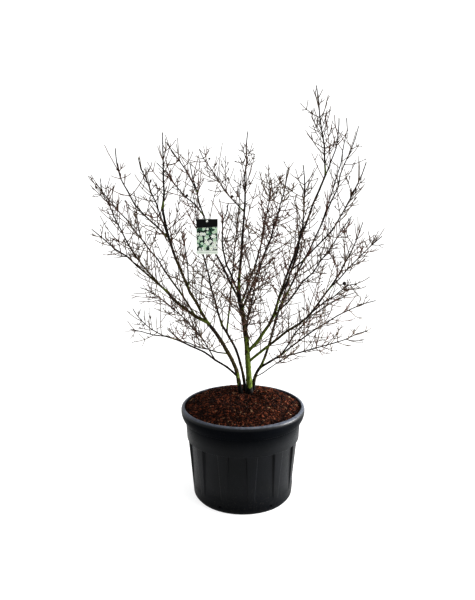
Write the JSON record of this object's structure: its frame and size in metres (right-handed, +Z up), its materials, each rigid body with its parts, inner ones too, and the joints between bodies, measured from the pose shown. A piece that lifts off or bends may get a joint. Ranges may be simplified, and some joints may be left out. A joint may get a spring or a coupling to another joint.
{
  "type": "potted dogwood",
  "caption": "Bare winter dogwood shrub with spreading stems and fine twig masses, growing in a large black nursery container filled with bark compost, with a hanging plant label.",
  "frame": {"origin": "middle of the container's flat underside, on the surface that it stands on", "axes": "+Z up along the plant's height, -Y towards the side that the plant label faces, +X to the right seen from there"},
  "size_m": [1.1656, 0.8479, 1.6379],
  "materials": {
    "bark": "matt bark, green at the foot and brown above",
    "twigs": "red-brown young bark",
    "pot_plastic": "moulded, satin",
    "compost": "loose bark crumb",
    "label_card": "printed plastic card",
    "label_tie": "clear plastic"
  },
  "bodies": {
    "root": {"back_left_rise_twigs": "twigs", "back_low_twigs": "twigs", "back_right_bough": "bark", "back_right_twigs": "twigs", "back_rise_bough": "bark", "back_rise_twigs": "twigs", "back_stem": "bark", "centre_stem": "bark", "crossing_twigs": "twigs", "far_left_twigs": "twigs", "fore_limb_bough": "bark", "fore_limb_twigs": "twigs", "fore_right_bough": "bark", "fore_right_twigs": "twigs", "front_left_bough": "bark", "front_left_side_twigs": "twigs", "front_left_top_twigs": "twigs", "inner_right_bough": "bark", "label": "label_card", "label_limb_bough": "bark", "label_limb_twigs": "twigs", "label_side_twigs": "twigs", "label_tie": "label_tie", "leader_bough": "bark", "leader_twigs": "twigs", "left_fork_bough": "bark", "left_stem": "bark", "low_back_twigs": "twigs", "low_fore_twigs": "twigs", "low_front_twigs": "twigs", "low_left_bough": "bark", "low_left_end_twigs": "twigs", "low_left_rise_twigs": "twigs", "mid_left_twigs": "twigs", "outer_left_bough": "bark", "outer_left_twigs": "twigs", "pot": "pot_plastic", "right_back_bough": "bark", "right_back_fork_twigs": "twigs", "right_back_rise_bough": "bark", "right_back_rise_twigs": "twigs", "right_low_bough": "bark", "right_low_fore_twigs": "twigs", "right_low_long_twigs": "twigs", "right_low_rise_bough": "bark", "right_low_rise_twigs": "twigs", "right_mid_twigs": "twigs", "right_out_bough": "bark", "right_out_low_twigs": "twigs", "right_out_rise_twigs": "twigs", "right_rise_bough": "bark", "right_rise_twigs": "twigs", "right_stem": "bark", "right_sweep_twigs": "twigs", "soil": "compost", "tall_limb_bough": "bark", "tall_side_twigs": "twigs", "tall_top_twigs": "twigs", "upper_left_bough": "bark", "upper_left_twigs": "twigs"}
  },
  "joints": []
}
